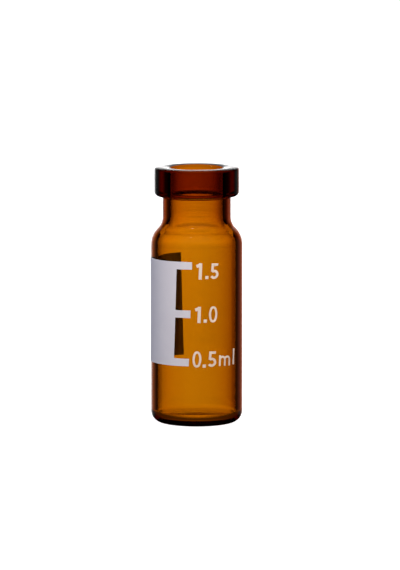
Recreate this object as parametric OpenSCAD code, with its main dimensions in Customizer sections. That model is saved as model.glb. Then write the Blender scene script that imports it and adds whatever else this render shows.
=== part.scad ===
// Open crimp-top sample vial: one piece of amber glass with a fired-on white write-on patch.
// All sizes are in millimetres. +Z points up and the origin is the centre of the base.
// The front of the vial, where the graduation bars end, faces -Y.

/* [Body] */
// Height from the base to the top of the mouth
overall_h = 32.5; // [31.5:0.5:40]
// Outer diameter of the body
body_d = 11.6; // [11:0.1:13]
// Height at which the straight body wall ends and the shoulder starts
body_h = 22.7; // [20:0.1:23]
// Thickness of the body wall
body_wall = 0.85; // [0.6:0.05:1.2]

/* [Base] */
// Radius of the rounded heel between the wall and the base
heel_r = 1.45; // [0.8:0.05:1.8]
// Width of the flat ring that the vial stands on
bearing_w = 0.4; // [0.2:0.05:1]
// Height of the hollow under the base at its centre
punt_depth = 0.3; // [0.1:0.05:0.6]
// Thickness of the floor
floor_t = 0.9; // [0.6:0.05:1.6]
// Radius inside, between the floor and the wall
floor_corner_r = 0.8; // [0.4:0.05:1.4]

/* [Shoulder and neck] */
// Radius of the rounded outer edge of the shoulder
shoulder_r = 2.85; // [2:0.05:3.2]
// Radius of the hollow curve from the shoulder into the neck
throat_r = 1.95; // [1:0.05:2.4]
// Outer diameter of the neck
neck_d = 8.65; // [8:0.05:9.4]
// Inner diameter of the neck and mouth
mouth_d = 6.6; // [5.6:0.1:7.2]

/* [Crimp bead] */
// Outer diameter of the bead that the cap is crimped over
bead_d = 10.75; // [10.2:0.05:11.4]
// Height of the bead
bead_h = 3.7; // [3:0.1:4.4]
// Radius of the lower edge of the bead
bead_edge_r = 0.6; // [0.3:0.05:0.9]
// Radius of the outer edge of the sealing face
rim_edge_r = 0.3; // [0.1:0.05:0.6]
// Radius of the inner edge of the sealing face
lip_edge_r = 0.2; // [0.1:0.05:0.5]
// Radius of the fillet between the neck and the bead
neck_fillet_r = 0.25; // [0.1:0.05:0.5]

/* [Write-on patch] */
// Thickness of the fired-on enamel
print_t = 0.04; // [0.02:0.01:0.1]
// Distance from the start of the shoulder down to the top of the patch
print_top_gap = 1.65; // [1:0.05:4]
// Angle from the front of the vial round to the patch, on its left
patch_front_angle = 27.4; // [15:0.5:60]
// Angle that the patch covers round the body
patch_wrap_angle = 132; // [90:1:150]
// Lean of the upright edges of the print, with the top to the right
print_lean_angle = 1.9; // [0:0.1:4]

/* [Graduation bars] */
// Number of bars
bar_count = 3; // [2:1:3]
// Height between one bar and the next
bar_pitch = 6.12; // [4:0.02:6.4]
// Height of a bar
bar_h = 0.95; // [0.4:0.05:1.5]
// Length of a bar along the wall
bar_len = 2; // [1:0.1:3]

/* [Hidden] */

$fn = 128;

// How far a cut runs past the surface that it opens
cut_past = 1;
// How far the throat's arc reaches into its neighbours, so that they share one clean edge
arc_overlap = 0.0002;

body_r = body_d / 2;
body_bore_r = body_r - body_wall;
neck_r = neck_d / 2;
mouth_r = mouth_d / 2;
neck_wall = neck_r - mouth_r;
bead_r = bead_d / 2;
bead_z = overall_h - bead_h;

// The punt under the base and the floor above it are two spheres about one centre on the axis
punt_r = body_r - heel_r - bearing_w;
punt_sphere_r = (punt_r * punt_r + punt_depth * punt_depth) / (2 * punt_depth);
punt_centre_z = punt_depth - punt_sphere_r;
floor_sphere_r = punt_sphere_r + floor_t;

// The corner circle touches the bore and the floor sphere
corner_x = body_bore_r - floor_corner_r;
corner_reach = floor_sphere_r + floor_corner_r;
corner_z = punt_centre_z + sqrt(corner_reach * corner_reach - corner_x * corner_x);
corner_touch_x = corner_x * floor_sphere_r / corner_reach;
corner_touch_z = punt_centre_z + (corner_z - punt_centre_z) * floor_sphere_r / corner_reach;

// Height of an S-shaped shoulder from radius r_low up to radius r_high,
// made of a rounded edge of radius r_edge and a hollow throat of radius r_throat that touch
function shoulder_rise(r_low, r_high, r_edge, r_throat) =
    sqrt(pow(r_edge + r_throat, 2) - pow(r_high + r_throat - r_low + r_edge, 2));

print_top_z = body_h - print_top_gap;
patch_h = (bar_count - 1) * bar_pitch + bar_h;
print_mid_z = print_top_z - patch_h / 2;
bar_wrap_angle = bar_len / body_r * 180 / PI;
print_r = body_r + print_t;
patch_front = -patch_front_angle;
patch_back = patch_front - patch_wrap_angle;
bar_end = patch_front + bar_wrap_angle;
// Side of a cube that is larger than the whole vial
beyond = 2 * overall_h;

// Corner of an outline outside an arc of radius r, to be cut away or filled in.
// The arc's centre is at the origin and the corner points to +X and +Y.
module corner_web(r, past) {
    difference() {
        square(r + past);
        circle(r);
    }
}

// Half section, from the axis outwards, of the shoulder and of the neck above it, up to z_high
module shoulder_section(r_low, r_high, r_edge, r_throat, z_high) {
    rise = shoulder_rise(r_low, r_high, r_edge, r_throat);
    edge_rise = rise * r_edge / (r_edge + r_throat);
    edge_x = r_low - r_edge;
    throat_x = r_high + r_throat;
    translate([0, body_h]) {
        difference() {
            union() {
                square([edge_x, edge_rise]);
                intersection() {
                    translate([edge_x, 0]) circle(r_edge);
                    square([r_low, edge_rise]);
                }
                translate([0, edge_rise]) square([throat_x, rise - edge_rise]);
            }
            translate([throat_x, rise]) circle(r_throat + arc_overlap);
        }
        square([r_high, z_high - body_h]);
    }
}

// Half section of the body below the shoulder, with the heel and the hollow base
module body_section() {
    difference() {
        square([body_r, body_h]);
        translate([body_r - heel_r, heel_r]) mirror([0, 1]) corner_web(heel_r, cut_past);
        translate([0, punt_centre_z]) circle(punt_sphere_r);
    }
}

// Half section of the crimp bead, with its rounded edges and its fillet into the neck
module bead_section() {
    difference() {
        translate([0, bead_z]) square([bead_r, bead_h]);
        translate([bead_r - bead_edge_r, bead_z + bead_edge_r])
            mirror([0, 1]) corner_web(bead_edge_r, cut_past);
        translate([bead_r - rim_edge_r, overall_h - rim_edge_r]) corner_web(rim_edge_r, cut_past);
    }
    translate([neck_r + neck_fillet_r, bead_z - neck_fillet_r])
        mirror([1, 0]) corner_web(neck_fillet_r, 0);
}

// Half section of the room inside, from the domed floor up to the mouth
module cavity_section() {
    difference() {
        square([body_bore_r, body_h]);
        translate([0, punt_centre_z]) circle(floor_sphere_r);
        difference() {
            polygon([
                [corner_touch_x, -cut_past],
                [corner_touch_x, corner_touch_z],
                [body_bore_r, corner_z],
                [body_bore_r + cut_past, corner_z],
                [body_bore_r + cut_past, -cut_past]
            ]);
            translate([corner_x, corner_z]) circle(floor_corner_r);
        }
    }
    shoulder_section(
        body_bore_r, mouth_r, shoulder_r - body_wall, throat_r + neck_wall, overall_h + cut_past
    );
    translate([mouth_r + lip_edge_r, overall_h - lip_edge_r])
        mirror([1, 0]) corner_web(lip_edge_r, cut_past);
}

// The whole vial is one turned form
module glass_body() {
    color("#B06A0C")
    rotate_extrude()
    difference() {
        union() {
            body_section();
            shoulder_section(body_r, neck_r, shoulder_r, throat_r, bead_z + bead_edge_r);
            bead_section();
        }
        cavity_section();
    }
}

// Everything on one side of a leaning upright plane through the axis.
// side is -1 for smaller angles than this one, and 1 for larger ones.
module beside_edge(angle, side) {
    translate([0, 0, print_mid_z])
        rotate([0, print_lean_angle, angle])
            translate([side * beyond / 2, 0, 0]) cube(beyond, center = true);
}

// Space between two bars, open to the right
module bar_gap(index) {
    intersection() {
        translate([0, 0, print_top_z - (index + 1) * bar_pitch])
            cylinder(r = print_r + cut_past, h = bar_pitch - bar_h);
        beside_edge(patch_front, 1);
    }
}

// White field round the left side, with one bar to the right for each graduation
module write_on_patch() {
    color("#D8D6DE")
    difference() {
        intersection() {
            translate([0, 0, print_top_z - patch_h]) cylinder(r = print_r, h = patch_h);
            beside_edge(bar_end, -1);
            beside_edge(patch_back, 1);
        }
        cylinder(r = body_r, h = body_h);
        for (index = [0 : bar_count - 2]) bar_gap(index);
    }
}

glass_body();
write_on_patch();
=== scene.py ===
"""Visual model of an amber glass sample vial with a fired-on write-on patch.

All sizes are in millimetres on the named values and in metres on the meshes.
+Z points up, the origin is the centre of the base and the front faces -Y.
"""

from __future__ import annotations

import logging
import math
from dataclasses import dataclass, field
from enum import Enum
from itertools import pairwise
from typing import Any

import bpy
from bpy.types import Material, Node, NodeSocket, NodeTree, Object, World
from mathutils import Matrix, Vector

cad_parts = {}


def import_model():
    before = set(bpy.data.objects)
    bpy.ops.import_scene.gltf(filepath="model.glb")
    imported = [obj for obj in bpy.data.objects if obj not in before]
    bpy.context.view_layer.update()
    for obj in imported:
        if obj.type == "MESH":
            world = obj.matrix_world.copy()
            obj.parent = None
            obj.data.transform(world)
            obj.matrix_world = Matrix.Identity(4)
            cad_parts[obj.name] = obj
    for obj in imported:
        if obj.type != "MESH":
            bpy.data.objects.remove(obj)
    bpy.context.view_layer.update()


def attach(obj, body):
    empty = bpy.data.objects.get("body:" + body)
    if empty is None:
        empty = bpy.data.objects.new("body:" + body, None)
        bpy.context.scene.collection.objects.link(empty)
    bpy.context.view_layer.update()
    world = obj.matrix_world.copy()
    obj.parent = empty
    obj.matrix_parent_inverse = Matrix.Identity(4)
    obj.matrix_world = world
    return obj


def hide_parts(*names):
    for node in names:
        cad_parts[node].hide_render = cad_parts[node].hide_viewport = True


MM = 0.001
# Distances under which points are one point, on turned sections and on the print, in mm
SECTION_MERGE = 0.0005
PRINT_MERGE = 0.001
# Edges flatter than this are shaded smooth on the print, in degrees
SMOOTH_ANGLE = 30
# Values that a noise mostly stays between
NOISE_ENDS = (0.3, 0.7)
# Level of the tent's lit cloth, where 1 is white
TENT_LEVEL = 1.45
log = logging.getLogger("vial")


def srgb(code: str) -> tuple[float, float, float, float]:
    """Turn an sRGB hex colour into linear light.

    Args:
        code: Colour such as "B06A0C".

    Returns:
        Linear red, green and blue, and an opacity of 1.
    """
    channels = []
    for start in (0, 2, 4):
        value = int(code[start : start + 2], 16) / 255
        low = value <= 0.04045
        channels.append(value / 12.92 if low else ((value + 0.055) / 1.055) ** 2.4)
    return (*channels, 1.0)


def add_node(
    tree: NodeTree,
    kind: str,
    links: dict[str | int, NodeSocket] | None = None,
    inputs: dict[str | int, Any] | None = None,
    **settings: Any,
) -> Node:
    """Add a node with its settings, values and incoming links.

    Args:
        tree: Node tree that gets the node.
        kind: Blender's type name of the node, after "ShaderNode".
        links: Input socket, by name or number, and the output that feeds it.
        inputs: Input socket, by name or number, and its value.
        **settings: Properties of the node itself.

    Returns:
        The new node.
    """
    node = tree.nodes.new("ShaderNode" + kind)
    for name, value in settings.items():
        setattr(node, name, value)
    for socket, value in (inputs or {}).items():
        node.inputs[socket].default_value = value
    for socket, source in (links or {}).items():
        tree.links.new(source, node.inputs[socket])
    return node


def add_noise(tree: NodeTree, across: float, along: float, detail: float = 2.0) -> NodeSocket:
    """Add a noise that varies over one length across the axis and another along it.

    Args:
        tree: Node tree that gets the nodes.
        across: Size of the pattern across the axis, in mm.
        along: Size of the pattern along the axis, in mm.
        detail: Number of finer layers.

    Returns:
        Output socket of the noise.
    """
    place = add_node(tree, "TexCoord")
    scaled = add_node(
        tree,
        "Mapping",
        {"Vector": place.outputs["Object"]},
        {"Scale": (1 / (across * MM), 1 / (across * MM), 1 / (along * MM))},
    )
    noise = add_node(
        tree, "TexNoise", {"Vector": scaled.outputs[0]}, {"Scale": 1.0, "Detail": detail}
    )
    return noise.outputs[0]


def span(ends: tuple[float, float], levels: tuple[float, float]) -> dict[str, float]:
    """Name a Map Range node's inputs, from the ends of its span and the level at each end."""
    return {"From Min": ends[0], "From Max": ends[1], "To Min": levels[0], "To Max": levels[1]}


def empty_tree(owner: Material | World) -> NodeTree:
    """Switch on the nodes of a new material or world and remove those it starts with.

    Args:
        owner: The material or world.

    Returns:
        Its empty node tree.
    """
    owner.use_nodes = True
    owner.node_tree.nodes.clear()
    return owner.node_tree


class Rays(Enum):
    """Kinds of rays that a piece of the studio can be hidden from."""

    CAMERA = "visible_camera"
    DIFFUSE = "visible_diffuse"
    GLOSSY = "visible_glossy"
    TRANSMISSION = "visible_transmission"
    SHADOW = "visible_shadow"


ALL_BUT_TRANSMISSION = (Rays.CAMERA, Rays.DIFFUSE, Rays.GLOSSY, Rays.SHADOW)
ALL_BUT_CAMERA = (Rays.DIFFUSE, Rays.GLOSSY, Rays.TRANSMISSION, Rays.SHADOW)


def hide_from(piece: Object, rays: tuple[Rays, ...]) -> None:
    """Hide a piece of the studio from some kinds of rays."""
    for kind in rays:
        setattr(piece, kind.value, False)


def deselect_all() -> None:
    """Leave edit mode and deselect every object."""
    if bpy.context.mode != "OBJECT":
        bpy.ops.object.mode_set(mode="OBJECT")
    bpy.ops.object.select_all(action="DESELECT")


def apply_place() -> None:
    """Move the place, turn and scale of the selected object into its mesh."""
    bpy.ops.object.transform_apply(location=True, rotation=True, scale=True)


def start_point(name: str, place: Vector) -> Object:
    """Add a mesh of one point, which is selected, and go into edit mode.

    Args:
        name: Name of the object.
        place: Place of the point, in metres.

    Returns:
        The object that is being edited.
    """
    deselect_all()
    bpy.ops.mesh.primitive_plane_add(size=MM, location=place)
    piece = bpy.context.object
    piece.name = name
    apply_place()
    bpy.ops.object.mode_set(mode="EDIT")
    bpy.ops.mesh.select_all(action="SELECT")
    bpy.ops.mesh.merge(type="CENTER")
    return piece


def spin_about_axis(steps: int, angle: float) -> None:
    """Spin all that is selected about Z, by an angle in radians, clockwise from above."""
    bpy.ops.mesh.spin(steps=steps, angle=angle, center=(0, 0, 0), axis=(0, 0, 1))


def apply_modifier(piece: Object, kind: str, **settings: Any) -> None:
    """Give the active object a modifier and apply it.

    Args:
        piece: The active object.
        kind: Blender's type name of the modifier.
        **settings: Properties of the modifier.
    """
    modifier = piece.modifiers.new(kind.lower(), kind)
    for name, value in settings.items():
        setattr(modifier, name, value)
    bpy.ops.object.modifier_apply(modifier=modifier.name)


class PathPen:
    """Draws a path in a plane across Y, then turns it about Z or gives it a width.

    The pen keeps the last point selected, so each stroke carries on from it. Arcs and zones have
    an edge every ARC_STEP degrees. HOLD is the length of the short strokes that keep one longer
    than HOLD_FROM flat under smooth shading, both in mm.
    """

    ARC_STEP = 5
    FEWEST_STEPS = 3
    HOLD = 0.08
    HOLD_FROM = 3 * HOLD

    def __init__(self, name: str, x: float, z: float, y: float = 0.0) -> None:
        """Start a path.

        Args:
            name: Name of the object.
            x: Place of the first point, in mm.
            z: Height of the first point, in mm.
            y: Place of the whole path in depth, in mm.
        """
        self.object = start_point(name, Vector((x * MM, y * MM, z * MM)))
        self.x, self.y, self.z = x, y, z

    def line(self, x: float, z: float, hold: bool = False) -> None:
        """Draw a straight stroke.

        Args:
            x: Distance of its end from the axis, in mm.
            z: Height of its end, in mm.
            hold: Whether short strokes at both ends keep the long one flat.
        """
        length = math.hypot(x - self.x, z - self.z)
        ends = [1.0]
        if hold and length > self.HOLD_FROM:
            ends = [self.HOLD / length, 1 - self.HOLD / length, 1.0]
        start_x, start_z, done = self.x, self.z, 0.0
        for end in ends:
            step = ((x - start_x) * (end - done) * MM, 0, (z - start_z) * (end - done) * MM)
            bpy.ops.mesh.extrude_region_move(TRANSFORM_OT_translate={"value": step})
            done = end
        self.x, self.z = x, z

    def arc(self, centre_x: float, centre_z: float, degrees: float) -> None:
        """Draw an arc that carries on from the last point.

        Args:
            centre_x: Distance of its centre from the axis, in mm.
            centre_z: Height of its centre, in mm.
            degrees: Angle it turns through, positive from +X towards +Z.
        """
        angle = math.radians(degrees)
        bpy.ops.mesh.spin(
            steps=max(self.FEWEST_STEPS, math.ceil(abs(angle) / math.radians(self.ARC_STEP))),
            angle=angle,
            center=(centre_x * MM, self.y * MM, centre_z * MM),
            axis=(0, 1, 0),
        )
        across, up = self.x - centre_x, self.z - centre_z
        self.x = centre_x + across * math.cos(angle) - up * math.sin(angle)
        self.z = centre_z + across * math.sin(angle) + up * math.cos(angle)

    def turn(self, steps: int) -> Object:
        """Turn the section about Z into a closed solid.

        Args:
            steps: Number of segments round the axis.

        Returns:
            The finished object.
        """
        bpy.ops.mesh.select_all(action="SELECT")
        spin_about_axis(steps, math.tau)
        bpy.ops.mesh.select_all(action="SELECT")
        bpy.ops.mesh.remove_doubles(threshold=SECTION_MERGE * MM)
        bpy.ops.mesh.normals_make_consistent(inside=False)
        bpy.ops.object.mode_set(mode="OBJECT")
        bpy.ops.object.shade_smooth()
        return self.object

    def sector(self, start: float, end: float) -> Object:
        """Turn the section about Z into an open zone.

        Args:
            start: Azimuth of its first edge from +Y towards +X, in degrees.
            end: Azimuth of its last edge, in degrees.

        Returns:
            The zone, with its place in the mesh.
        """
        bpy.ops.mesh.select_all(action="SELECT")
        spin_about_axis(round((end - start) / self.ARC_STEP), math.radians(end - start))
        bpy.ops.mesh.select_all(action="SELECT")
        bpy.ops.mesh.remove_doubles(threshold=SECTION_MERGE * MM)
        bpy.ops.object.mode_set(mode="OBJECT")
        self.object.rotation_euler = (0, 0, math.radians(90 - start))
        apply_place()
        return self.object

    def ribbon(self, width: float, depth: float) -> Object:
        """Give the path a width in its plane and a depth across it.

        Args:
            width: Width of the stroke, in mm.
            depth: Depth towards +Y, in mm.

        Returns:
            The closed stroke.
        """
        bpy.ops.mesh.select_all(action="SELECT")
        bpy.ops.mesh.remove_doubles(threshold=PRINT_MERGE * MM)
        bpy.ops.mesh.extrude_region_move(TRANSFORM_OT_translate={"value": (0, depth * MM, 0)})
        bpy.ops.mesh.select_all(action="SELECT")
        bpy.ops.mesh.normals_make_consistent(inside=False)
        bpy.ops.object.mode_set(mode="OBJECT")
        apply_modifier(
            self.object, "SOLIDIFY", thickness=width * MM, offset=0.0, use_even_offset=True
        )
        return self.object


@dataclass(frozen=True)
class AmberGlass:
    """Amber borosilicate tube glass, drawn and flame-worked, with a fire-polished skin.

    It is clear and brown-orange, darker where the light's path in the wall is longer. Long faint
    streaks come from drawing the tube, and fine rings from rolling the neck in the flame. Each
    pattern's two sizes are across the axis and along it. The kept shares are the red, green and
    blue that are left of white light after path_mm of glass.
    """

    name: str = "amber_borosilicate_glass"
    ior: float = 1.49
    roughness: tuple[float, float] = (0.0, 0.012)
    kept: tuple[float, float, float] = (0.365, 0.108, 0.0005)
    path_mm: float = 1.8
    streak_mm: tuple[float, float] = (1.3, 26.0)
    streak_height: float = 0.004
    skin_mm: tuple[float, float] = (4.0, 6.0)
    ring_mm: tuple[float, float] = (30.0, 0.36)
    ring_height: float = 0.01
    ring_z: tuple[float, float] = (23.4, 28.2)
    clear: str = "FFFFFF"
    cord: str = "FDFBF6"

    def add_rings(self, tree: NodeTree) -> NodeSocket:
        """Add the flame-work rings, which fade out away from the neck.

        Args:
            tree: Node tree of the material.

        Returns:
            Output socket of their height.
        """
        rings = add_noise(tree, *self.ring_mm, detail=1.0)
        place = add_node(tree, "TexCoord")
        split = add_node(tree, "SeparateXYZ", {0: place.outputs["Object"]})
        low, high = self.ring_z
        away = add_node(
            tree, "Math", {0: split.outputs[2]}, {1: (low + high) / 2 * MM}, operation="SUBTRACT"
        )
        side = add_node(tree, "Math", {0: away.outputs[0]}, operation="ABSOLUTE")
        mask = add_node(
            tree,
            "MapRange",
            {"Value": side.outputs[0]},
            span(((high - low) / 4 * MM, (high - low) / 2 * MM), (1.0, 0.0)),
            interpolation_type="SMOOTHSTEP",
        )
        masked = add_node(tree, "Math", {0: rings, 1: mask.outputs[0]}, operation="MULTIPLY")
        return masked.outputs[0]

    def build(self) -> Material:
        """Make the material.

        Returns:
            The glass, with its surface and its absorption.
        """
        material = bpy.data.materials.new(self.name)
        tree = empty_tree(material)
        per_metre = [-math.log(share) / (self.path_mm * MM) for share in self.kept]
        density = max(per_metre)
        absorbed = (*(1 - value / density for value in per_metre), 1)
        streaks = add_noise(tree, *self.streak_mm)
        skin = add_noise(tree, *self.skin_mm)
        drawn = add_node(
            tree,
            "Bump",
            {"Height": streaks},
            {"Strength": 1.0, "Distance": self.streak_height * MM},
        )
        rolled = add_node(
            tree,
            "Bump",
            {"Height": self.add_rings(tree), "Normal": drawn.outputs[0]},
            {"Strength": 1.0, "Distance": self.ring_height * MM},
        )
        cords = add_node(tree, "MapRange", {"Value": streaks}, span(NOISE_ENDS, (0.0, 1.0)))
        tint = add_node(
            tree,
            "Mix",
            {"Factor": cords.outputs[0]},
            {"A": srgb(self.clear), "B": srgb(self.cord)},
            data_type="RGBA",
        )
        gloss = add_node(tree, "MapRange", {"Value": skin}, span(NOISE_ENDS, self.roughness))
        surface = add_node(
            tree,
            "BsdfPrincipled",
            {
                "Base Color": tint.outputs["Result"],
                "Roughness": gloss.outputs[0],
                "Normal": rolled.outputs[0],
            },
            {"IOR": self.ior, "Transmission Weight": 1.0},
        )
        volume = add_node(
            tree, "VolumeAbsorption", inputs={"Color": absorbed, "Density": density}
        )
        add_node(
            tree, "OutputMaterial", {"Surface": surface.outputs[0], "Volume": volume.outputs[0]}
        )
        return material


@dataclass(frozen=True)
class WhiteEnamel:
    """White ceramic enamel, screen printed and fired onto the glass: opaque and matt.

    The print has a fine grain from its screen, slightly uneven whiteness where the coat is thinner,
    and a dark underside, which is painted shade for the dim light that reaches it through the
    glass.
    The thinness is the share of the thin coat's colour from the weakest to the strongest noise.
    """

    name: str = "fired_white_enamel"
    colour: str = "E9E6EC"
    thin_colour: str = "DCD9E2"
    # Painted shade: dark colour of the underside, which is seen only dimly lit through the glass
    shaded_underside: str = "5A4A40"
    underside_r: float = 5.794
    roughness: tuple[float, float] = (0.5, 0.66)
    thinness: tuple[float, float] = (0.6, -0.8)
    grain_mm: float = 0.09
    cloud_mm: float = 1.6
    grain_height: float = 0.003

    def add_underside(self, tree: NodeTree) -> NodeSocket:
        """Tell the underside, which lies in the glass, from the face, so that shade can be painted
        on it.

        Args:
            tree: Node tree of the material.

        Returns:
            Output socket that is 1 on the underside and 0 on the face.
        """
        place = add_node(tree, "TexCoord")
        level = add_node(
            tree, "VectorMath", {0: place.outputs["Object"]}, {1: (1, 1, 0)}, operation="MULTIPLY"
        )
        radius = add_node(tree, "VectorMath", {0: level.outputs[0]}, operation="LENGTH")
        inside = add_node(
            tree,
            "Math",
            {0: radius.outputs["Value"]},
            {1: self.underside_r * MM},
            operation="LESS_THAN",
        )
        return inside.outputs[0]

    def build(self) -> Material:
        """Make the material.

        Returns:
            The enamel, for the face and the underside.
        """
        material = bpy.data.materials.new(self.name)
        tree = empty_tree(material)
        grain = add_noise(tree, self.grain_mm, self.grain_mm, detail=3.0)
        clouds = add_noise(tree, self.cloud_mm, self.cloud_mm)
        blend = add_node(tree, "Math", {0: grain, 1: clouds}, operation="MULTIPLY")
        thin = add_node(
            tree, "MapRange", {"Value": blend.outputs[0]}, span(NOISE_ENDS, self.thinness)
        )
        face = add_node(
            tree,
            "Mix",
            {"Factor": thin.outputs[0]},
            {"A": srgb(self.colour), "B": srgb(self.thin_colour)},
            data_type="RGBA",
        )
        # Painted shade: the underside takes the dark colour instead of the face's
        colour = add_node(
            tree,
            "Mix",
            {"Factor": self.add_underside(tree), "A": face.outputs["Result"]},
            {"B": srgb(self.shaded_underside)},
            data_type="RGBA",
        )
        bump = add_node(
            tree, "Bump", {"Height": grain}, {"Strength": 1.0, "Distance": self.grain_height * MM}
        )
        matt = add_node(tree, "MapRange", {"Value": grain}, span(NOISE_ENDS, self.roughness))
        surface = add_node(
            tree,
            "BsdfPrincipled",
            {
                "Base Color": colour.outputs["Result"],
                "Roughness": matt.outputs[0],
                "Normal": bump.outputs[0],
            },
        )
        add_node(tree, "OutputMaterial", {"Surface": surface.outputs[0]})
        return material


@dataclass
class GlassBody:
    """The turned glass: foot, wall, shoulder, neck and crimp bead, with its cavity.

    The sealing face is crowned: crown_r is the radius of its arc and crown_x where it is highest.
    """

    overall_h: float = 32.5
    body_r: float = 5.8
    body_h: float = 22.7
    body_wall: float = 0.85
    heel_r: float = 1.45
    bearing_w: float = 0.4
    punt_depth: float = 0.3
    floor_t: float = 0.9
    floor_corner_r: float = 0.8
    shoulder_r: float = 2.85
    throat_r: float = 1.95
    neck_r: float = 4.325
    mouth_r: float = 3.3
    bead_r: float = 5.375
    bead_h: float = 3.7
    bead_edge_r: float = 0.6
    rim_edge_r: float = 0.3
    lip_edge_r: float = 0.35
    crown_r: float = 4.5
    crown_x: float = 4.4
    neck_fillet_r: float = 0.25
    segments: int = 256
    finish: AmberGlass = AmberGlass()

    @property
    def bead_z(self) -> float:
        """Height of the lower face of the bead, in mm."""
        return self.overall_h - self.bead_h

    @property
    def punt_r(self) -> float:
        """Radius of the rim of the hollow under the base, in mm."""
        return self.body_r - self.heel_r - self.bearing_w

    @property
    def punt_sphere_r(self) -> float:
        """Radius of the sphere that the hollow under the base is part of, in mm."""
        return (self.punt_r**2 + self.punt_depth**2) / (2 * self.punt_depth)

    @property
    def punt_centre_z(self) -> float:
        """Height of that sphere's centre, which is the centre of the floor's sphere too, in mm."""
        return self.punt_depth - self.punt_sphere_r

    def shoulder(
        self, pen: PathPen, low_r: float, high_r: float, edge_r: float, throat_r: float, up: bool
    ) -> None:
        """Draw an S-shaped shoulder between the wall and the neck.

        Args:
            pen: Pen that stands at the shoulder's start.
            low_r: Radius at the wall, in mm.
            high_r: Radius at the neck, in mm.
            edge_r: Radius of the rounded edge, in mm.
            throat_r: Radius of the hollow curve, in mm.
            up: Whether the pen goes up from the wall, or down from the neck.
        """
        across = high_r + throat_r - low_r + edge_r
        rise = math.sqrt((edge_r + throat_r) ** 2 - across**2)
        angle = math.degrees(math.atan2(rise, across))
        edge = (low_r - edge_r, self.body_h)
        throat = (high_r + throat_r, self.body_h + rise)
        if up:
            pen.arc(*edge, angle)
            pen.arc(*throat, -angle)
        else:
            pen.line(high_r, throat[1], hold=True)
            pen.arc(*throat, angle)
            pen.arc(*edge, -angle)

    def sealing_face(self, pen: PathPen) -> None:
        """Draw the bead's side and the slightly crowned face that the septum seals on.

        Args:
            pen: Pen that stands at the foot of the bead's side.
        """
        centre_z = self.overall_h - self.crown_r
        rim_x, lip_x = self.bead_r - self.rim_edge_r, self.mouth_r + self.lip_edge_r
        rim_reach, lip_reach = self.crown_r - self.rim_edge_r, self.crown_r - self.lip_edge_r
        rim_tilt = math.asin((rim_x - self.crown_x) / rim_reach)
        lip_tilt = math.asin((self.crown_x - lip_x) / lip_reach)
        rim_z = centre_z + rim_reach * math.cos(rim_tilt)
        lip_z = centre_z + lip_reach * math.cos(lip_tilt)
        rim_tilt, lip_tilt = math.degrees(rim_tilt), math.degrees(lip_tilt)
        pen.line(self.bead_r, rim_z, hold=True)
        pen.arc(rim_x, rim_z, 90 - rim_tilt)
        pen.arc(self.crown_x, centre_z, rim_tilt + lip_tilt)
        pen.arc(lip_x, lip_z, 90 - lip_tilt)

    def outside(self, pen: PathPen) -> None:
        """Draw the section from the top of the hollow base round to the foot of the bead's side.

        Args:
            pen: Pen that stands on the axis.
        """
        heel_x = self.body_r - self.heel_r
        fillet_z = self.bead_z - self.neck_fillet_r
        edge_x = self.bead_r - self.bead_edge_r
        pen.arc(0, self.punt_centre_z, -math.degrees(math.asin(self.punt_r / self.punt_sphere_r)))
        pen.line(heel_x, 0)
        pen.arc(heel_x, self.heel_r, 90)
        pen.line(self.body_r, self.body_h, hold=True)
        self.shoulder(pen, self.body_r, self.neck_r, self.shoulder_r, self.throat_r, True)
        pen.line(self.neck_r, fillet_z, hold=True)
        pen.arc(self.neck_r + self.neck_fillet_r, fillet_z, -90)
        pen.line(edge_x, self.bead_z)
        pen.arc(edge_x, self.bead_z + self.bead_edge_r, 90)

    def inside(self, pen: PathPen) -> None:
        """Draw the section from the mouth down to the middle of the floor.

        Args:
            pen: Pen that stands at the inner edge of the mouth.
        """
        bore_r = self.body_r - self.body_wall
        edge_r = self.shoulder_r - self.body_wall
        throat_r = self.throat_r + self.neck_r - self.mouth_r
        corner_x = bore_r - self.floor_corner_r
        corner_reach = self.punt_sphere_r + self.floor_t + self.floor_corner_r
        corner_z = self.punt_centre_z + math.sqrt(corner_reach**2 - corner_x**2)
        floor_angle = math.degrees(math.asin(corner_x / corner_reach))
        self.shoulder(pen, bore_r, self.mouth_r, edge_r, throat_r, False)
        pen.line(bore_r, corner_z, hold=True)
        pen.arc(corner_x, corner_z, -(90 + floor_angle))
        pen.arc(0, self.punt_centre_z, floor_angle)

    def build(self) -> Object:
        """Make the glass.

        Returns:
            The dressed body, which stands for its CAD node.
        """
        pen = PathPen("amber_glass_body", 0, self.punt_depth)
        self.outside(pen)
        self.sealing_face(pen)
        self.inside(pen)
        body = pen.turn(self.segments)
        body.data.materials.append(self.finish.build())
        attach(body, "root")
        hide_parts("glass_body")
        return body


@dataclass(frozen=True)
class PrintPlace:
    """Where the print lies on the wall: radius, height, thickness and the lean of its uprights.

    The coat reaches sunk mm into the glass and stands proud mm above it, so that no two faces
    of the print and the glass lie on each other. The lean is in degrees.
    """

    wall_r: float = 5.8
    sunk: float = 0.012
    proud: float = 0.035
    top_z: float = 21.05
    patch_h: float = 13.19
    lean: float = 1.9

    @property
    def mid_z(self) -> float:
        """Height of the middle of the patch, in mm."""
        return self.top_z - self.patch_h / 2

    @property
    def inner_r(self) -> float:
        """Radius of the print's underside, in mm."""
        return self.wall_r - self.sunk

    @property
    def thickness(self) -> float:
        """Thickness of the print with what is sunk, in mm."""
        return self.sunk + self.proud

    def lean_shift(self, z: float) -> float:
        """Give how far the lean moves an upright to the right at height z, in degrees."""
        shift = (z - self.mid_z) * math.tan(math.radians(self.lean))
        return math.degrees(shift / self.wall_r)


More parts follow.
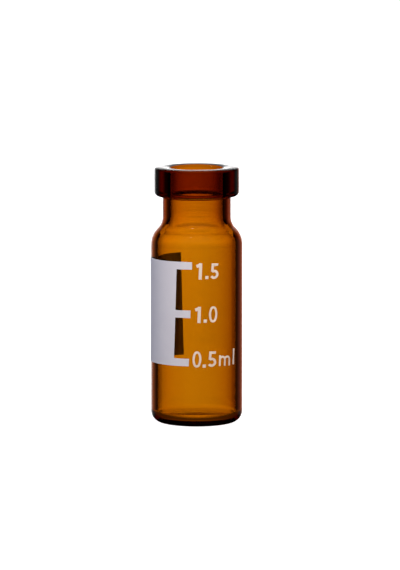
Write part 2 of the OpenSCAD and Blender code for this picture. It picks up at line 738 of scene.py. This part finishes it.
@dataclass
class WriteOnPatch:
    """The white field round the left side, with a bar to the right for each graduation.

    The front edge, the wrap round the wall and the step between its edges are in degrees.
    """

    place: PrintPlace = PrintPlace()
    front: float = -27.4
    wrap: float = 132.0
    bar_pitch: float = 6.12
    bar_h: float = 0.95
    bar_len: float = 2.0
    bar_count: int = 3
    step: float = 2.0
    finish: WhiteEnamel = WhiteEnamel()

    def levels(self) -> list[float]:
        """List the heights where the front edge turns.

        Returns:
            Top and bottom of each bar, from the top down, in mm.
        """
        heights = []
        for index in range(self.bar_count):
            top = self.place.top_z - index * self.bar_pitch
            heights += [top, top - self.bar_h]
        return heights

    def draw_edge(self) -> Object:
        """Draw the leaning front edge of the field.

        Returns:
            The edge's object, which is being edited.
        """
        inner_r = self.place.inner_r * MM
        points = []
        for z in self.levels():
            angle = math.radians(self.front + self.place.lean_shift(z))
            points.append(Vector((math.sin(angle) * inner_r, -math.cos(angle) * inner_r, z * MM)))
        edge = start_point("white_write_on_patch", points[0])
        for before, after in pairwise(points):
            bpy.ops.mesh.extrude_region_move(TRANSFORM_OT_translate={"value": after - before})
        return edge

    def select_front(self, edge: Object) -> None:
        """Select the stretches of the front edge that carry a bar.

        Args:
            edge: Object that is being edited.
        """
        bpy.ops.mesh.select_mode(type="EDGE")
        bpy.ops.mesh.select_all(action="DESELECT")
        bpy.ops.object.mode_set(mode="OBJECT")
        heights = self.levels()
        for link in edge.data.edges:
            ends = [edge.data.vertices[number] for number in link.vertices]
            middle_z = (ends[0].co.z + ends[1].co.z) / 2 / MM
            in_bar = any(
                low < middle_z < high for high, low in zip(heights[::2], heights[1::2], strict=True)
            )
            upright = abs(ends[0].co.z - ends[1].co.z) > self.bar_h / 2 * MM
            angle = math.degrees(math.atan2(ends[0].co.x, -ends[0].co.y))
            expected = self.front + self.place.lean_shift(ends[0].co.z / MM)
            if in_bar and upright and abs(angle - expected) < self.step / 2:
                link.select = True
        bpy.ops.object.mode_set(mode="EDIT")

    def build(self) -> Object:
        """Make the patch and its bars.

        Returns:
            The dressed patch, which stands for its CAD node.
        """
        patch = self.draw_edge()
        bpy.ops.mesh.select_all(action="SELECT")
        spin_about_axis(round(self.wrap / self.step), math.radians(self.wrap))
        self.select_front(patch)
        bar_angle = self.bar_len / self.place.wall_r
        spin_about_axis(max(1, round(math.degrees(bar_angle) / self.step)), -bar_angle)
        bpy.ops.mesh.select_mode(type="VERT")
        bpy.ops.mesh.select_all(action="SELECT")
        bpy.ops.mesh.remove_doubles(threshold=PRINT_MERGE * MM)
        bpy.ops.mesh.normals_make_consistent(inside=False)
        bpy.ops.object.mode_set(mode="OBJECT")
        outward = patch.data.polygons[0]
        if outward.normal.dot(outward.center * Vector((1, 1, 0))) < 0:
            bpy.ops.object.mode_set(mode="EDIT")
            bpy.ops.mesh.select_all(action="SELECT")
            bpy.ops.mesh.flip_normals()
            bpy.ops.object.mode_set(mode="OBJECT")
        apply_modifier(patch, "SOLIDIFY", thickness=self.place.thickness * MM, offset=1.0)
        patch.data.materials.append(self.finish.build())
        bpy.ops.object.shade_smooth_by_angle(angle=math.radians(SMOOTH_ANGLE))
        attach(patch, "root")
        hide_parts("write_on_patch")
        return patch


# A point, a line's end, or an arc's centre and angle
Move = tuple[float, ...]


class Letter(Enum):
    """Characters of the graduation print."""

    ONE = "1"
    FIVE = "5"
    ZERO = "0"
    POINT = "point"
    EM = "m"
    EL = "l"


@dataclass(frozen=True)
class LetterForm:
    """A character as strokes, in mm from the lower left corner of its box.

    Each of the strokes is a start (x, z) and then moves: two numbers for a line to (x, z), three
    for an arc about (x, z) through so many degrees. stroke is the width that they all have.
    """

    width: float
    strokes: tuple[tuple[Move, ...], ...]
    stroke: float


@dataclass(frozen=True)
class LetterPlace:
    """A character and the place of its lower left corner on the wall.

    across is measured in mm along the wall from the front, and z is its height.
    """

    letter: Letter
    across: float
    z: float


@dataclass(frozen=True)
class Oval:
    """A closed oval of four arcs that touch, for the numeral nought, in mm."""

    half_w: float
    half_h: float
    end_r: float

    def moves(self, centre_x: float, centre_z: float) -> tuple[Move, ...]:
        """Work out the oval's stroke.

        Args:
            centre_x: Centre of the oval, in mm.
            centre_z: Height of its centre, in mm.

        Returns:
            The stroke's start and its arcs.
        """
        end_z = self.half_h - self.end_r
        narrow = self.half_w - self.end_r
        side_r = self.end_r + (narrow**2 + end_z**2) / (2 * narrow)
        reach = side_r - self.half_w
        tilt = math.degrees(math.atan2(end_z, reach))
        return (
            (centre_x + self.half_w, centre_z),
            (centre_x - reach, centre_z, tilt),
            (centre_x, centre_z + end_z, 180 - 2 * tilt),
            (centre_x + reach, centre_z, 2 * tilt),
            (centre_x, centre_z - end_z, 180 - 2 * tilt),
            (centre_x - reach, centre_z, tilt),
        )


@dataclass
class Numerals:
    """The printed numerals to the right of the bars, in a narrow sans of even strokes.

    Each is drawn depth mm deep across the wall and cut down to a shell that lies on it, which
    reaches over the heights in shell_z.
    """

    place: PrintPlace = PrintPlace()
    depth: float = 0.8
    finish: WhiteEnamel = WhiteEnamel("fired_cream_enamel", "F7E6D8", "EBD9CA")
    shell_z: tuple[float, float] = (7.0, 21.5)
    shell_segments: int = 256
    forms: dict[Letter, LetterForm] = field(
        default_factory=lambda: {
            Letter.ONE: LetterForm(
                0.75, (((0.52, 0.0), (0.52, 2.06)), ((0.0, 1.63), (0.52, 1.84))), 0.4
            ),
            Letter.FIVE: LetterForm(
                1.15,
                (((1.04, 1.87), (0.31, 1.87), (0.25, 0.98)), ((0.235, 0.976), (0.52, 0.65, -275))),
                0.31,
            ),
            Letter.ZERO: LetterForm(1.22, (Oval(0.42, 0.88, 0.3).moves(0.61, 1.07),), 0.28),
            Letter.POINT: LetterForm(0.47, (((0.235, 0.02), (0.235, 0.43)),), 0.41),
            Letter.EM: LetterForm(
                1.93,
                (
                    ((0.21, 0.0), (0.21, 1.37)),
                    ((0.965, 0.0), (0.965, 0.78), (0.5875, 0.78, 150)),
                    ((1.72, 0.0), (1.72, 0.78), (1.3425, 0.78, 150)),
                ),
                0.25,
            ),
            Letter.EL: LetterForm(0.44, (((0.22, 0.0), (0.22, 2.02)),), 0.28),
        }
    )
    labels: dict[str, tuple[LetterPlace, ...]] = field(
        default_factory=lambda: {
            "numeral_1.5": (
                LetterPlace(Letter.ONE, -0.08, 18.86),
                LetterPlace(Letter.POINT, 1.05, 18.88),
                LetterPlace(Letter.FIVE, 1.70, 18.82),
            ),
            "numeral_1.0": (
                LetterPlace(Letter.ONE, -0.23, 13.36),
                LetterPlace(Letter.POINT, 0.84, 13.36),
                LetterPlace(Letter.ZERO, 1.47, 13.34),
            ),
            "numeral_0.5_ml": (
                LetterPlace(Letter.ZERO, -0.61, 7.67),
                LetterPlace(Letter.POINT, 0.72, 7.67),
                LetterPlace(Letter.FIVE, 1.39, 7.69),
                LetterPlace(Letter.EM, 2.82, 7.78),
                LetterPlace(Letter.EL, 5.10, 7.81),
            ),
        }
    )

    def draw_letter(self, where: LetterPlace) -> list[Object]:
        """Draw one character as deep strokes that stand across the wall.

        Args:
            where: The character and its place.

        Returns:
            One object for each stroke, turned to its place round the vial.
        """
        form = self.forms[where.letter]
        middle = where.across + form.width / 2
        strokes = []
        for start, *moves in form.strokes:
            pen = PathPen(
                f"stroke_{where.letter.name}",
                start[0] - form.width / 2,
                start[1],
                -self.place.wall_r - self.depth / 2,
            )
            for move in moves:
                if len(move) == 2:
                    pen.line(move[0] - form.width / 2, move[1])
                else:
                    pen.arc(move[0] - form.width / 2, move[1], move[2])
            stroke = pen.ribbon(form.stroke, self.depth)
            stroke.rotation_euler = (0, math.radians(self.place.lean), 0)
            apply_place()
            stroke.location = (0, 0, where.z * MM)
            stroke.rotation_euler = (0, 0, middle / self.place.wall_r)
            apply_place()
            strokes.append(stroke)
        return strokes

    def build_shell(self) -> Object:
        """Make the shell that the numerals are cut to.

        Returns:
            A thin closed tube where the print lies.
        """
        deselect_all()
        low, high = (z * MM for z in self.shell_z)
        bpy.ops.mesh.primitive_cylinder_add(
            vertices=self.shell_segments,
            radius=self.place.inner_r * MM,
            depth=high - low,
            location=(0, 0, (low + high) / 2),
            end_fill_type="NOTHING",
        )
        shell = bpy.context.object
        apply_place()
        apply_modifier(shell, "SOLIDIFY", thickness=self.place.thickness * MM, offset=1.0)
        return shell

    def build(self) -> list[Object]:
        """Make the numerals.

        Returns:
            The dressed labels, one object each.
        """
        shell = self.build_shell()
        material = self.finish.build()
        made = []
        for name, letters in self.labels.items():
            strokes = [stroke for where in letters for stroke in self.draw_letter(where)]
            deselect_all()
            for stroke in strokes:
                stroke.select_set(True)
            bpy.context.view_layer.objects.active = strokes[0]
            bpy.ops.object.join()
            label = bpy.context.object
            label.name = name
            apply_modifier(
                label, "BOOLEAN", operation="INTERSECT", solver="EXACT", use_self=True, object=shell
            )
            label.data.materials.clear()
            label.data.materials.append(material)
            bpy.ops.object.shade_smooth_by_angle(angle=math.radians(SMOOTH_ANGLE))
            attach(label, "root")
            made.append(label)
        bpy.data.objects.remove(shell)
        return made


@dataclass(frozen=True)
class LightField:
    """A soft-edged field of light in the surroundings, which the glass bends and mirrors.

    Azimuth is 0 straight behind the vial, along +Y, and grows to the right, towards +X.
    Each angle has a centre, half the width at half level, and half the width of the soft edge.
    """

    name: str
    level: float
    azimuth: tuple[float, float, float]
    elevation: tuple[float, float, float]
    colour: str = "FFFFFF"


@dataclass(frozen=True)
class SoftLamp:
    """A square soft box that lights the matt print and the floor.

    It isn't seen through the glass, and the glass mirrors it only where it is set to. Angles are
    in degrees, as for a field of light, and the power is in watts.
    """

    name: str
    azimuth: float
    elevation: float
    power: float
    colour: str = "FFFFFF"
    size: float = 300.0
    distance: float = 600.0
    aim_z: float = 16.0
    mirrored: bool = False

    def build(self) -> None:
        """Make the lamp, aimed at the middle of the vial."""
        azimuth, elevation = math.radians(self.azimuth), math.radians(self.elevation)
        aim = Vector((0, 0, self.aim_z * MM))
        direction = Vector(
            (
                math.sin(azimuth) * math.cos(elevation),
                math.cos(azimuth) * math.cos(elevation),
                math.sin(elevation),
            )
        )
        deselect_all()
        bpy.ops.object.light_add(type="AREA", location=aim + direction * (self.distance * MM))
        lamp = bpy.context.object
        lamp.name = self.name
        lamp.rotation_euler = direction.to_track_quat("Z", "Y").to_euler()
        lamp.data.size = self.size * MM
        lamp.data.energy = self.power
        lamp.data.color = srgb(self.colour)[:3]
        hide_from(lamp, (Rays.CAMERA, Rays.TRANSMISSION))
        if not self.mirrored:
            hide_from(lamp, (Rays.GLOSSY,))


@dataclass(frozen=True)
class TentPanel:
    """A lit panel of the tent, seen through the glass but not mirrored in it.

    Azimuth and elevation are where the panel starts and ends, in degrees.
    """

    name: str
    azimuth: tuple[float, float]
    elevation: tuple[float, float]
    radius: float = 1000.0

    def build(self, cloth: Material) -> None:
        """Make the panel, a zone of a sphere round the vial.

        Args:
            cloth: Material that shines at the panel's level.
        """
        low, high = (math.radians(angle) for angle in self.elevation)
        pen = PathPen(self.name, self.radius * math.cos(low), self.radius * math.sin(low))
        pen.arc(0, 0, math.degrees(high - low))
        panel = pen.sector(*self.azimuth)
        panel.data.materials.append(cloth)
        hide_from(panel, ALL_BUT_TRANSMISSION)


@dataclass(frozen=True)
class OvalFade:
    """A level that fades between two ovals about one centre on the table.

    The centre and the half width and half depth of the oval at distance 1 are in mm.
    """

    centre: tuple[float, float]
    half: tuple[float, float]
    distance: tuple[float, float]
    level: tuple[float, float]

    def add(self, tree: NodeTree) -> NodeSocket:
        """Add the level's nodes.

        Args:
            tree: Node tree that gets them.

        Returns:
            Output socket of the level at each place.
        """
        (centre_x, centre_y), (half_x, half_y) = self.centre, self.half
        place = add_node(tree, "TexCoord")
        scaled = add_node(
            tree,
            "Mapping",
            {"Vector": place.outputs["Object"]},
            {
                "Location": (-centre_x / half_x, -centre_y / half_y, 0),
                "Scale": (1 / (half_x * MM), 1 / (half_y * MM), 0),
            },
        )
        away = add_node(tree, "VectorMath", {0: scaled.outputs[0]}, operation="LENGTH")
        fade = add_node(
            tree,
            "MapRange",
            {"Value": away.outputs["Value"]},
            span(self.distance, self.level),
            interpolation_type="SMOOTHSTEP",
        )
        return fade.outputs[0]


@dataclass(frozen=True)
class FootCard:
    """A graded card under the foot, with painted shadow that darkens the rim of the base seen
    through the glass.

    It stands in for the table under the vial, with light and shade painted in. It is bright behind
    the base and under its middle, as painted light, and dark in front of it and at its sides, as
    painted shadow.
    It fades outwards to the level of the tent. It is seen through the glass, which doesn't mirror
    it.
    """

    inner_r: float = 0.1
    outer_r: float = 7.6
    stretch: float = 1.4
    z: float = -0.05
    # Painted light behind the base, painted shadow round it that fades out to the tent, painted
    # light under its middle
    bright: OvalFade = OvalFade((0, 5), (5.6, 8.6), (0.85, 1.12), (1.16, 0.2))
    around: OvalFade = OvalFade((0, 0), (10, 7.2), (0.85, 1.05), (0, TENT_LEVEL))
    middle: OvalFade = OvalFade((0, -0.4), (1, 1), (1.2, 2.9), (0.9, 0))

    def paper(self) -> Material:
        """Make the card's material.

        Returns:
            A material that only shines, with painted light and painted shadow as its brighter and
            darker places.
        """
        material = bpy.data.materials.new("foot_shadow_card")
        tree = empty_tree(material)
        level = add_node(
            tree, "Math", {0: self.bright.add(tree), 1: self.around.add(tree)}, operation="MAXIMUM"
        )
        total = add_node(
            tree, "Math", {0: level.outputs[0], 1: self.middle.add(tree)}, operation="ADD"
        )
        light = add_node(tree, "Emission", {"Strength": total.outputs[0]})
        add_node(tree, "OutputMaterial", {"Surface": light.outputs[0]})
        return material

    def build(self) -> None:
        """Make the card, an oval that is wide to the sides."""
        pen = PathPen("stage_foot_shadow_card", self.inner_r, self.z)
        pen.line(self.outer_r, self.z)
        card = pen.sector(0, 360)
        card.scale = (self.stretch, 1, 1)
        apply_place()
        card.data.materials.append(self.paper())
        hide_from(card, ALL_BUT_TRANSMISSION)


@dataclass
class Studio:
    """Pale floor and soft light, with dark gaps beside the backdrop that draw the glass's edges.

    The glass takes its light from the fields, the panels and the card, and the print from the
    lamps. Only the camera sees the floor and the dome behind it.
    """

    fields: tuple[LightField, ...] = (
        LightField("backdrop", 1.31, (-5, 18, 17.5), (-2, 13, 5)),
        LightField("warm_side", 0.25, (20, 12, 8), (-2, 13, 5), "FF8040"),
        LightField("glow", 0.6, (-5, 18, 17.5), (0, 6.2, 2.2)),
        LightField("spill", 0.07, (0, 52, 12), (-4, 12, 6)),
        LightField("backdrop_top", 0.35, (0, 30, 8), (27, 16, 6)),
        LightField("front_sheen", 0.06, (180, 45, 25), (45, 20, 15)),
    )
    lamps: tuple[SoftLamp, ...] = (
        SoftLamp("key_front", 170, 50, 0.27, "FFF8F4", size=80, distance=150),
        SoftLamp("fill_left", -100, 30, 1.5, "E8EEFF"),
        SoftLamp("fill_right", 100, 30, 0.8, "F4F6FF"),
        SoftLamp("back_left", -40, 35, 0.8, "F6F6FF"),
        SoftLamp("back_right", 40, 35, 0.5, "F6F6FF"),
        SoftLamp("spark_front", -161, 53, 0.035, "FFE8C0", size=45, mirrored=True),
        SoftLamp("spark_back", -30, 55, 0.06, size=50, mirrored=True),
    )
    card: FootCard = FootCard()
    panels: tuple[TentPanel, ...] = (
        TentPanel("stage_tent_round", (70, 290), (-12, 35)),
        TentPanel("stage_tent_low", (0, 360), (-90, -12)),
        TentPanel("stage_tent_high_right", (20, 50), (20, 50)),
        TentPanel("stage_tent_high_left", (-50, -20), (20, 50)),
    )
    floor_side: float = 4000.0
    floor_colour: str = "E8E8E8"
    floor_roughness: float = 0.8
    dome_r: float = 1100.0
    dome_rings: int = 24
    bounces: int = 24
    glossy_bounces: int = 12

    def add_field(
        self, tree: NodeTree, light: LightField, level_direction: NodeSocket, elevation: NodeSocket
    ) -> NodeSocket:
        """Add the light of one field.

        Args:
            tree: Node tree of the world.
            light: The field.
            level_direction: Direction that is looked up, laid level and of length 1.
            elevation: Height of that direction over the horizon, in radians.

        Returns:
            Output socket of the colour that the field adds to the direction.
        """
        turn = math.radians(light.azimuth[0])
        across = add_node(
            tree,
            "VectorMath",
            {0: level_direction},
            {1: (math.sin(turn), math.cos(turn), 0)},
            operation="DOT_PRODUCT",
        )
        aside = add_node(tree, "Math", {0: across.outputs["Value"]}, operation="ARCCOSINE")
        offset = add_node(
            tree,
            "Math",
            {0: elevation},
            {1: math.radians(light.elevation[0])},
            operation="SUBTRACT",
        )
        above = add_node(tree, "Math", {0: offset.outputs[0]}, operation="ABSOLUTE")
        fades = []
        for away, (_, half, soft) in ((aside, light.azimuth), (above, light.elevation)):
            edge = (math.radians(half - soft), math.radians(half + soft))
            fades.append(
                add_node(
                    tree,
                    "MapRange",
                    {"Value": away.outputs[0]},
                    span(edge, (1.0, 0.0)),
                    interpolation_type="SMOOTHSTEP",
                )
            )
        share = add_node(
            tree, "Math", {0: fades[0].outputs[0], 1: fades[1].outputs[0]}, operation="MULTIPLY"
        )
        colour = [channel * light.level for channel in srgb(light.colour)[:3]]
        tinted = add_node(
            tree, "VectorMath", {"Scale": share.outputs[0]}, {0: colour}, operation="SCALE"
        )
        return tinted.outputs[0]

    def build_world(self) -> None:
        """Make the light that comes from all round."""
        world = bpy.data.worlds.new("studio")
        bpy.context.scene.world = world
        tree = empty_tree(world)
        coordinate = add_node(tree, "TexCoord")
        direction = coordinate.outputs["Generated"]
        split = add_node(tree, "SeparateXYZ", {0: direction})
        elevation = add_node(tree, "Math", {0: split.outputs[2]}, operation="ARCSINE")
        flat = add_node(tree, "VectorMath", {0: direction}, {1: (1, 1, 0)}, operation="MULTIPLY")
        level = add_node(tree, "VectorMath", {0: flat.outputs[0]}, operation="NORMALIZE")
        total: NodeSocket | None = None
        for light in self.fields:
            colour = self.add_field(tree, light, level.outputs[0], elevation.outputs[0])
            if total is None:
                total = colour
            else:
                both = add_node(tree, "VectorMath", {0: total, 1: colour}, operation="ADD")
                total = both.outputs[0]
        background = add_node(tree, "Background", {"Color": total})
        add_node(tree, "OutputWorld", {"Surface": background.outputs[0]})

    @staticmethod
    def shining(name: str, level: float) -> Material:
        """Make a material that only shines.

        Args:
            name: Name of the material.
            level: Its brightness, where 1 is white.

        Returns:
            The material.
        """
        material = bpy.data.materials.new(name)
        tree = empty_tree(material)
        light = add_node(tree, "Emission", inputs={"Strength": level})
        add_node(tree, "OutputMaterial", {"Surface": light.outputs[0]})
        return material

    def build_floor(self) -> None:
        """Make the pale floor, which the glass neither mirrors nor bends into view."""
        deselect_all()
        bpy.ops.mesh.primitive_plane_add(size=self.floor_side * MM, location=(0, 0, 0))
        floor = bpy.context.object
        floor.name = "stage_floor"
        material = bpy.data.materials.new("white_light_table")
        tree = empty_tree(material)
        surface = add_node(
            tree,
            "BsdfPrincipled",
            inputs={
                "Base Color": srgb(self.floor_colour),
                "Roughness": self.floor_roughness,
                "Emission Color": (1, 1, 1, 1),
                "Emission Strength": 1.0,
            },
        )
        add_node(tree, "OutputMaterial", {"Surface": surface.outputs[0]})
        floor.data.materials.append(material)
        hide_from(floor, (Rays.DIFFUSE, Rays.GLOSSY, Rays.TRANSMISSION))

    def build_backdrop(self) -> None:
        """Make the plain white dome that closes the view, which only the camera sees."""
        deselect_all()
        bpy.ops.mesh.primitive_uv_sphere_add(
            segments=2 * self.dome_rings, ring_count=self.dome_rings, radius=self.dome_r * MM
        )
        dome = bpy.context.object
        dome.name = "stage_backdrop"
        dome.data.materials.append(self.shining("white_backdrop", 1.0))
        hide_from(dome, ALL_BUT_CAMERA)

    def build(self) -> None:
        """Make the floor and the light, and set how it is shown."""
        self.build_world()
        self.build_floor()
        self.build_backdrop()
        self.card.build()
        for lamp in self.lamps:
            lamp.build()
        cloth = self.shining("tent_cloth", TENT_LEVEL)
        for panel in self.panels:
            panel.build(cloth)
        scene = bpy.context.scene
        scene.view_settings.view_transform = "Standard"
        scene.cycles.max_bounces = self.bounces
        scene.cycles.transmission_bounces = self.bounces
        scene.cycles.glossy_bounces = self.glossy_bounces


@dataclass
class ProductCamera:
    """A long lens a little above the vial, looking along +Y."""

    distance: float = 650.0
    height: float = 99.2
    offset_x: float = 0.424
    aim_z: float = 17.44
    lens: float = 327.0
    sensor_h: float = 36.0
    clip: tuple[float, float] = (50.0, 20000.0)

    def build(self) -> None:
        """Make the camera and give it to the scene."""
        place = Vector((self.offset_x, -self.distance, self.height)) * MM
        aim = Vector((self.offset_x, 0, self.aim_z)) * MM
        bpy.ops.object.camera_add(location=place)
        camera = bpy.context.object
        camera.rotation_euler = (aim - place).to_track_quat("-Z", "Y").to_euler()
        camera.data.lens = self.lens
        camera.data.sensor_fit = "VERTICAL"
        camera.data.sensor_height = self.sensor_h
        camera.data.clip_start, camera.data.clip_end = (end * MM for end in self.clip)
        bpy.context.scene.camera = camera


def main() -> None:
    """Build the vial and its studio, in order."""
    logging.basicConfig(level=logging.INFO, format="%(message)s")
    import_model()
    for piece in (GlassBody().build(), WriteOnPatch().build(), *Numerals().build()):
        log.info("%s: %d faces", piece.name, len(piece.data.polygons))
    Studio().build()
    ProductCamera().build()


if __name__ == "__main__":
    main()
